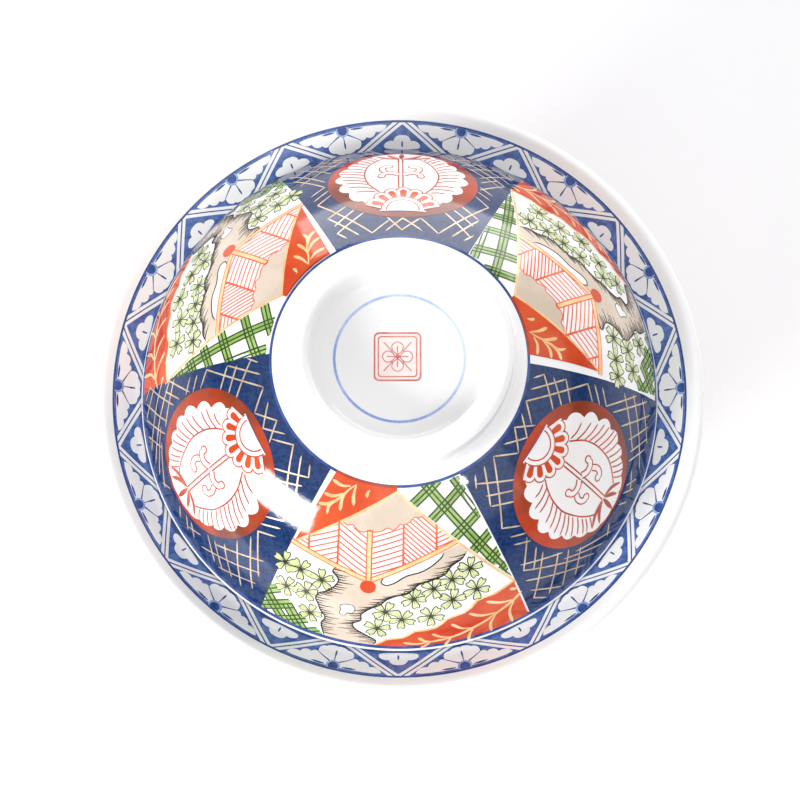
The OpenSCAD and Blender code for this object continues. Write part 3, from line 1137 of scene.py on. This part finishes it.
def two_plaids(on):
    """Plaid along the upper right of the panel and in its lower left corner."""
    upper = [(1.9, 53.8), fan(2.6, 51.6), fan(12, 51.4), fan(18.9, 51.7), (30.4, 80.2)]
    upper_bands = [
        ((7.2, 50.0), (30.2, 80.2)), ((15.4, 49.6), (22.2, 60.4)), ((11.2, 49.8), (4.2, 56.6)),
        ((18.6, 51.2), (9.2, 60.8)), ((22.4, 58.9), (14.8, 66.3)), ((25.0, 65.2), (19.6, 70.8)),
        ((27.6, 70.4), (23.4, 74.9)), ((29.4, 75.4), (26.6, 78.6)),
    ]
    plaid(on, upper_bands, upper, 1.15)
    lower = [fan(-21.4, 91.5), (-31.0, 84.8), (-18.4, 100.1), fan(-15.0, EDGE_LINE), fan(-20.9, EDGE_LINE)]
    lower_bands = [
        ((-35.2, 85.2), (-28.4, 101.0)), ((-38.6, 90.6), (-34.0, 100.6)),
        ((-28.2, 90.6), (-23.6, 102.0)), ((-37.6, 89.2), (-30.2, 85.6)),
        ((-39.6, 95.6), (-26.6, 90.0)), ((-36.4, 100.4), (-23.2, 94.6)),
        ((-28.4, 102.6), (-19.6, 98.6)),
    ]
    plaid(on, lower_bands, lower, 1.45)


def vermilion_hem(on):
    """The band at the lower right with a cream scroll."""
    scallops = [
        (31.5, 81.8), (28.9, 83.4), (26.4, 84.9), (23.6, 85.5), (21.5, 86.3), (20.2, 88.3),
        (18.3, 89.9), (15.9, 90.8), (13.9, 91.6), (12.6, 93.3), (10.8, 94.8), (8.3, 95.5), (5.6, 95.8),
        (3.9, 97.4), (2.3, 98.5), (0.1, 98.9), (-1.8, 99.3), (-3.0, 100.4), (-4.6, 101.6),
    ]
    edge = even(scallops)
    on["gold"].area(stroke(edge, 1.3), GROUND)
    hem = [*edge, *fan_arc(-2.7, 21.3, EDGE_LINE), (36.2, 94.3), (31.2, 82.4)]
    on["red"].area(hem, GROUND + 0.016, broad=True)
    stem = [
        (33.6, 85.9), (31.1, 88.7), (27.0, 91.9), (24.5, 93.9), (20.8, 96.2), (17.0, 98.2),
        (13.9, 99.3), (9.5, 100.3),
    ]
    on["cream"].curve(stem, 0.8, OVER, "brush")
    leaves = [
        [(32.6, 84.2), (31.4, 84.5), (30.0, 84.1)], [(31.6, 88.2), (27.9, 88.2), (23.7, 86.9)],
        [(27.2, 91.6), (22.9, 91.7), (19.4, 90.2)], [(21.1, 96.0), (17.9, 95.6), (14.9, 93.4)],
        [(15.3, 98.8), (12.3, 98.2), (10.0, 96.7)], [(10.1, 100.0), (8.3, 99.7), (6.5, 98.2)],
        [(9.6, 100.3), (5.8, 100.9), (2.5, 100.2)], [(31.7, 88.3), (30.8, 92.3), (32.3, 97.0)],
        [(27.0, 92.1), (25.8, 95.6), (26.5, 99.0)], [(21.1, 96.4), (20.3, 98.7), (20.3, 101.4)],
        [(15.4, 98.9), (14.4, 101.0), (13.9, 102.6)], [(9.8, 100.5), (8.4, 101.9), (7.2, 102.7)],
    ]
    for line in leaves:
        on["cream"].curve(line, 1.15, OVER, "leaf")


def scene_panel():
    on = Paints()
    vermilion_corner(on)
    folded_screen(on)
    old_trunk(on)
    places = [
        (-28.2, 76.8, 10), (-24.0, 77.9, 40), (-18.4, 79.9, 0), (-28.0, 84.3, 30), (-22.6, 84.6, 12),
        (-21.9, 91.9, 20), (19.1, 75.4, 5), (14.6, 78.2, 40), (9.9, 80.7, 15), (4.9, 83.8, 20),
        (14.9, 84.7, 8), (21.0, 82.1, 30), (-2.1, 88.3, 25), (2.1, 90.8, 40), (9.5, 89.9, 33),
        (-4.2, 94.4, 8),
    ]
    for index, (x, y, turn) in enumerate(places):
        blossom(on, np.array([x, y]), turn, 1.15 if index > 9 else 1.08)
    two_plaids(on)
    vermilion_hem(on)
    return on


# The border on the bowl's flared band: drawn along the rim line, then curled to the fan


class Curled(Sheet):
    """A sheet drawn along the rim line, across in x and inward from the line in y."""

    def area(self, outline, lift, broad=False):
        if outline is None or len(outline) < 3:
            return
        ring = even(np.vstack([outline, outline[:1]]))[:-1]
        turn = ring[:, 0] / BAND_LINE
        reach = BAND_LINE - ring[:, 1]
        super().area(np.stack([reach * np.sin(turn), reach * np.cos(turn)], -1), lift, broad)


BORDER_UNITS = 14
UNIT = math.tau * RIM_LINE_R / BORDER_UNITS
BORDER_DEEP = 15.5


def border_unit():
    """From the apex of one chevron to the next, with half a chrysanthemum in the middle."""
    on = Paints(Curled)
    half = UNIT / 2
    ground = [(-half, -0.2), (half, -0.2), (half, BORDER_DEEP), (-half, BORDER_DEEP)]
    on["cobalt"].area(ground, GROUND, broad=True)
    fence = [(-half - 3, 0.25), (half + 3, 0.25), (half + 3, BORDER_DEEP), (-half - 3, BORDER_DEEP)]
    lobes = scalloped([(12.5, 0.85), (9.3, 2.55), (6.5, 3.75), (4.5, 4.15)], [-0.75, -0.8, -0.55])
    wing = np.array([(1.2, 0.75), (6.0, 0.7), (10.6, 0.66), *lobes, (3.2, 3.35), (1.1, 2.2)])
    flick = [(2.3, 0.92), (3.4, 0.8), (4.8, 0.82), (6.1, 1.1), (4.8, 1.34), (3.4, 1.32), (2.3, 1.16)]
    leg = [(1.0, -1.3), (-0.95, 0.2), (-4.3, 2.75), (-8.4, 5.6), (-12.3, 8.0), (-17.2, 10.6)]
    top = [(0, 3.7), (-1.3, 3.85), (-2.2, 4.5), (-2.55, 5.3)]
    low = [(-3.4, 5.2), (-4.7, 5.6), (-5.4, 6.4), (-5.0, 7.2), (-2.4, 7.6), (0, 7.75)]
    bar = [(0, 5.3), (-0.24, 5.7), (-0.24, 6.7), (0, 7.0)]
    for side in (-1, 1):
        on["white"].area(wing * [side, 1], OVER, broad=True)
        on["blue"].area(np.array(flick) * [side, 1], ABOVE + 0.01)
        chevron = flowing([(side * (half + x), y) for x, y in leg])
        lift = OVER if side < 0 else OVER + 0.012
        on["white"].area(trimmed(stroke(chevron, 2.0), fence), lift, broad=True)
        on["blue"].area(trimmed(stroke(chevron, 0.32), fence), ABOVE + 0.012)
        small = [(side * (half + x), y) for x, y in [*flowing(top), *flowing(low)]]
        on["white"].area(small, OVER, broad=True)
        on["blue"].area([(side * (half + x), y) for x, y in bar], ABOVE + 0.01)
        on["blue"].line([(side * 1.2, 2.3), (side * 4.7, 4.4)], 0.3, LINES)
    run = scalloped([(-4.75, 4.45), (-3.0, 6.75), (0, 7.4)], [0.85, 0.42])
    petal = np.array([(-0.9, 2.45), (-2.8, 3.4), *run])
    petal = np.vstack([petal, petal[-2::-1] * [-1, 1]])
    on["blue"].area(grown(petal, 0.16), OVER + 0.03, broad=True)
    on["white"].area(petal, ABOVE + 0.03, broad=True)
    vein = [
        (-0.1, 2.8), (0.1, 2.8), (0.15, 4.1), (0.27, 5.0), (0.2, 5.9), (0, 6.15), (-0.2, 5.9),
        (-0.25, 5.0), (-0.15, 4.1),
    ]
    on["blue"].area(vein, LINES + 0.03)
    on["pale"].area(trimmed(round_line((0, 1.1), 1.85, 1.75, step=0.35), fence), LINES + 0.02)
    on["blue"].area(trimmed(round_line((0, 0.95), 1.3, 1.35, step=0.35), fence), TOP + 0.02)
    return on


def seal():
    """A small red stamp: a double frame round a plain four-petalled flower."""
    on = Paints()
    at = np.array([-0.5, -0.4])
    outer = ((5.95, 6.3, 1.3, "red"), (5.5, 5.85, 1.0, "wash"))
    inner = ((4.95, 5.3, 0.9, "red"), (4.62, 4.97, 0.7, "wash"))
    for index, (half_w, half_h, turn, key) in enumerate(outer + inner):
        outline = []
        for sx, sy, start in ((1, 1, 0), (-1, 1, 90), (-1, -1, 180), (1, -1, 270)):
            c = at + [sx * (half_w - turn), sy * (half_h - turn)]
            outline += list(round_line(c, turn, a0=start, a1=start + 90, step=0.3))
        on[key].area(outline, GROUND + 0.014 * index, broad=True)
    lift = GROUND + 0.06
    shape = [(0.7, 0), (1.5, 1.15), (2.9, 1.35), (3.8, 0), (2.9, -1.35), (1.5, -1.15)]
    for k in range(4):
        petal = petal_line(at, 90 * k, shape, step=0.4)
        on["red"].area(grown(petal, 0.13), lift)
        on["wash"].area(grown(petal, -0.13), lift + 0.014)
        way = ways(90 * k)[0]
        on["red"].line([at + way, at + way * 2.7], 0.26, lift + 0.03)
        slant = ways(45 + 90 * k)[0]
        on["red"].line([at + slant * 1.9, at + slant * [4.9, 5.3]], 0.26, lift + 0.028)
    on["red"].area(round_line(at, 0.6, step=0.3), lift + 0.04)
    return on


def well_flower():
    """A plain five-petalled blossom for the middle of the bowl's inside."""
    on = Paints()
    shape = [(1.5, 0), (4.2, 2.4), (7.4, 3.6), (9.4, 2.1), (8.8, 0), (9.4, -2.1), (7.4, -3.6), (4.2, -2.4)]
    for k in range(5):
        petal = petal_line(0, 72 * k, shape, step=0.6)
        on["blue"].area(grown(petal, 0.22), OVER, broad=True)
        on["pale"].area(grown(petal, -0.2), ABOVE, broad=True)
        way, side = ways(72 * k)
        for bend in (-1, 0, 1):
            vein = [way * 2.6 + side * bend * 0.6, way * (6.4 - abs(bend)) + side * bend * 1.8]
            on["blue"].line(vein, 0.42, LINES, "flick")
    on["blue"].area(round_line((0, 0), 1.5, step=0.4), TOP)
    return on


PANEL_COATS = {
    "cobalt": ("cobalt_grounds", "cobalt", COBALT),
    "gilt": ("gilt_lattice", "gold", GILT),
    "rust": ("rust_rims", "iron_red", RUST),
    "white": ("white_grounds", "porcelain", MARK_WHITE),
    "red": ("vermilion_fields", "iron_red", VERMILION),
    "brick": ("brick_lines", "iron_red", BRICK),
    "sprig": ("dark_sprigs", "iron_red", BRICK),
    "cream": ("cream_scrolls", "gold", CREAM),
    "gold": ("gold_frames", "gold", CREAM),
    "buff": ("buff_trunks", "buff", BUFF),
    "blush": ("screen_papers", "porcelain", MARK_WHITE),
    "orange": ("screen_lines", "iron_red", ORANGE),
    "peach": ("screen_rails", "buff", PEACH),
    "leaf": ("plaid_bands", "leaf_green", LEAF),
    "dark": ("dark_green_lines", "outline", DARK_LEAF),
    "petal": ("blossom_petals", "leaf_green", PETAL),
    "stem": ("blossom_outlines", "outline", STEM),
    "line": ("shell_edges", "cobalt", LINE_BLUE),
    "ink": ("ink_lines", "outline", INK),
}


def paint_panels(body, skin, grounds, figures, scenes):
    """Both panels, each three times round a piece."""
    blue = blue_panel()
    scene = scene_panel()
    for key, (name, slot_name, material) in PANEL_COATS.items():
        coats = []
        if key in blue:
            coats.append((blue[key], grounds if key == "cobalt" else figures))
        if key in scene:
            coats.append((scene[key], scenes))
        fired(f"{body}_{name}", body, material, skin, coats)


paint_panels("lid", DOME, LID_GROUNDS, LID_FIGURES, LID_SCENES)
paint_panels("bowl", OUTSIDE, EVEN_BLUES, EVEN_BLUES, EVEN_SCENES)

# The border's chevrons stand at slightly uneven turns, as a hand lays such a border
APEXES = [-168.7, -143.5, -116.4, -90.3, -63.6, -37.6, -11.8]
APEXES += [13.5, 39.0, 64.6, 89.4, 114.6, 140.1, 165.9, 191.3]
border_turns = []
for before, after in zip(APEXES, APEXES[1:]):
    border_turns.append(((before + after) / 2, (after - before) * BORDER_UNITS / 360))
border = border_unit()
flower = well_flower()
stamp = seal()
upright = [(-90.0,)]
for name, body, slot_name, material, skin, sheet, turns in (
    ("bowl_border_ground", "bowl", "cobalt", BORDER_BLUE, BAND, border["cobalt"], border_turns),
    ("bowl_border_white", "bowl", "porcelain", PORCELAIN, BAND, border["white"], border_turns),
    ("bowl_border_pale", "bowl", "cobalt", PALE_BLUE, BAND, border["pale"], border_turns),
    ("bowl_border_lines", "bowl", "cobalt", LINE_BLUE, BAND, border["blue"], border_turns),
    ("bowl_flower_lines", "bowl", "cobalt", LINE_BLUE, WELL, flower["blue"], upright),
    ("bowl_flower_petals", "bowl", "cobalt", PALE_BLUE, WELL, flower["pale"], upright),
    ("lid_seal_red", "lid", "iron_red", SEAL_RED, RECESS, stamp["red"], upright),
    ("lid_seal_wash", "lid", "porcelain", SEAL_WASH, RECESS, stamp["wash"], upright),
):
    fired(name, body, material, skin, [(sheet, turns)])


def between(rows, r0, r1):
    """The rows of an outline that lie between two radii."""
    return rows[(rows[:, 0] >= r0) & (rows[:, 0] <= r1)]


# Blue lines that run round: their pieces, colours and radii
recess_rows = np.array([[15.95 + 0.65 * k / 3, RECESS_Z] for k in range(4)])
inside, band = lid_fine["inside"], bowl_fine["band"]
outside, well = bowl_fine["outside"], bowl_fine["well"]
hem_r = float(np.interp(EDGE_LINE + 0.9, OUTSIDE.reach, OUTSIDE.r))
FOOT_LINE_Z = (6.2, 7.0)
foot = bowl_fine["foot"][bowl_fine["foot"][:, 0] > FOOT_R - 1]
foot_wall = foot[(foot[:, 1] > FOOT_LINE_Z[0]) & (foot[:, 1] < FOOT_LINE_Z[1])]
under_hem, over_foot = between(outside, hem_r, hem_r + 0.6), between(outside, 38.2, 38.8)
for name, body, material, *rings in (
    ("lid_recess_ring", "lid", RING_BLUE, recess_rows),
    ("lid_blue_rings", "lid", LINE_BLUE, between(dome_rows, 31.85, 32.7), between(inside, 58.0, 58.7)),
    ("lid_edge_line", "lid", LINE_BLUE, between(dome_rows, 67.0, 67.6)),
    ("bowl_rim_lines", "bowl", LINE_BLUE, between(band, 74.75, 75.35), between(band, 61.5, 62.2)),
    ("bowl_outside_lines", "bowl", LINE_BLUE, under_hem, over_foot, foot_wall),
    ("bowl_well_lines", "bowl", RING_BLUE, between(well, 20.4, 21.2), between(well, 22.2, 22.7)),
):
    hoops(name, body, material, rings)

# Floor, light and background, in metres
FLOOR_REACH = 6.0
FLOOR_DROP = 0.0001
LIT_HEIGHT = 0.08
floor_work = bmesh.new()
bmesh.ops.create_grid(floor_work, x_segments=1, y_segments=1, size=FLOOR_REACH)
floor_mesh = mesh_of("floor", floor_work)
floor = bpy.data.objects.new("floor", floor_mesh)
bpy.context.scene.collection.objects.link(floor)
floor.location = (0, 0, -FLOOR_DROP)
floor_material = bpy.data.materials.new("pale_floor")
floor_material.use_nodes = True
floor_shader = floor_material.node_tree.nodes["Principled BSDF"]
floor_shader.inputs["Base Color"].default_value = colour(249, 248, 249)
floor_shader.inputs["Roughness"].default_value = 0.7
floor_mesh.materials.append(floor_material)


def lamp(name, toward, distance, width, height, power, roll):
    """A soft panel that shines from a direction at the middle of the object."""
    light = bpy.data.lights.new(name, "AREA")
    light.shape = "RECTANGLE"
    light.size = width
    light.size_y = height
    light.energy = power
    thing = bpy.data.objects.new(name, light)
    bpy.context.scene.collection.objects.link(thing)
    toward = Vector(toward).normalized()
    thing.location = Vector((0, 0, LIT_HEIGHT)) + toward * distance
    facing = (-toward).to_track_quat("-Z", "Y")
    thing.rotation_euler = (facing @ Quaternion((0, 0, 1), math.radians(roll))).to_euler()


lamp("window", (-0.6928, -0.5991, 0.4014), 1.3, 0.295, 0.56, 14.0, 102)
lamp("back_sweep", (0.1, 0.97, 0.2), 2.0, 2.6, 1.0, 37, 0)
lamp("front_high", (0.35, -0.7, 0.8), 1.7, 1.7, 1.2, 5.2, 0)
lamp("right_side", (0.9, 0.15, 0.5), 1.7, 1.0, 0.7, 1.2, 0)
lamp("spark", (0.416, -0.563, 0.714), 1.6, 0.035, 0.07, 1.0, 20)


def studio_world():
    """A pale room: bright at the horizon, dim over it, and bright again overhead."""
    world = bpy.data.worlds.new("studio")
    bpy.context.scene.world = world
    world.use_nodes = True
    tree = world.node_tree
    place = add(tree, "ShaderNodeTexCoord").outputs["Generated"]
    up = add(tree, "ShaderNodeSeparateXYZ", {0: place}).outputs["Z"]
    horizon = remap(tree, up, 0.1, 0.18, 0.65, 0.0)
    ceiling = remap(tree, up, 0.1, 0.7, 0.0, 0.8)
    ground = tree.nodes["Background"]
    ground.inputs["Color"].default_value = (0.985, 0.985, 1.0, 1)
    tree.links.new(maths(tree, "MAXIMUM", horizon, ceiling), ground.inputs["Strength"])


studio_world()
bpy.context.scene.view_settings.view_transform = "Standard"
bpy.context.scene.view_settings.look = "None"
